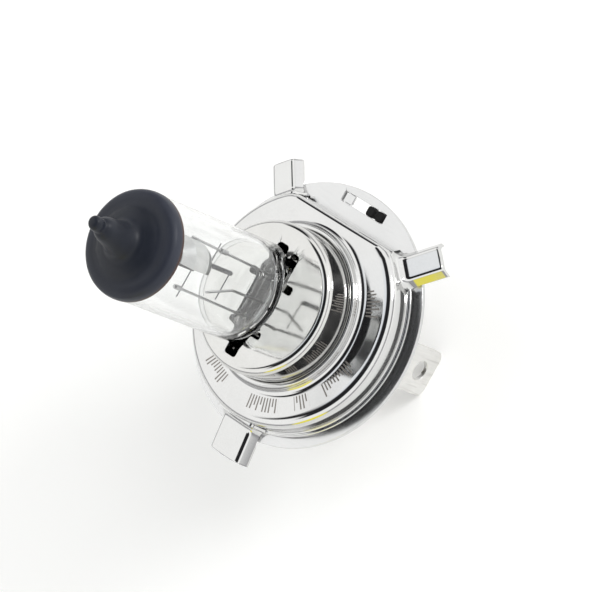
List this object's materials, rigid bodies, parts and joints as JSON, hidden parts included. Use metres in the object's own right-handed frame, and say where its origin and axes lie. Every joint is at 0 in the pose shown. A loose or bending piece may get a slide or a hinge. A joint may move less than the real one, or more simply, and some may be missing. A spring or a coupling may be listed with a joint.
{
  "type": "headlight bulb",
  "caption": "Halogen headlight bulb with a black-tipped glass tube, shielded filaments, a lugged prefocus flange and blade terminals.",
  "frame": {"origin": "on the bulb's reference axis, in the front face of the flange disc", "axes": "+Z along the reference axis towards the glass tip, +Y towards the wide lug"},
  "size_m": [0.043, 0.0474, 0.0821],
  "materials": {
    "quartz": "clear, polished",
    "black_coating": "matt, light-proof",
    "molybdenum": "drawn, satin",
    "tungsten": "matt grey",
    "foil": "thin, satin",
    "lead_wire": "drawn",
    "spring_steel": "satin",
    "nickel_plate": "bright, polished",
    "satin_plate": "bright, finely rolled",
    "tin_plate": "satin, rolled",
    "rivet_brass": "turned",
    "solder": "dull",
    "phenolic": "moulded",
    "black_insert": "moulded"
  },
  "bodies": {
    "root": {"glass_envelope": "quartz", "tip_coating": "black_coating", "beam_shield": "molybdenum", "low_beam_filament": "tungsten", "high_beam_filament": "tungsten", "shield_support_wire": "molybdenum", "low_beam_support_wire": "molybdenum", "high_beam_support_wire": "molybdenum", "filament_crimps": "molybdenum", "common_foil": "foil", "low_beam_foil": "foil", "high_beam_foil": "foil", "common_lead": "lead_wire", "low_beam_lead": "lead_wire", "high_beam_lead": "lead_wire", "pinch_clamp": "spring_steel", "collar_cup": "nickel_plate", "prefocus_ring": "nickel_plate", "flange_disc": "satin_plate", "slot_studs": "black_insert", "slot_tab": "satin_plate", "base_shell": "nickel_plate", "insulator": "phenolic", "blade_left": "tin_plate", "blade_right": "tin_plate", "blade_top": "tin_plate", "terminal_rivets": "rivet_brass", "solder_joints": "solder"}
  },
  "joints": []
}
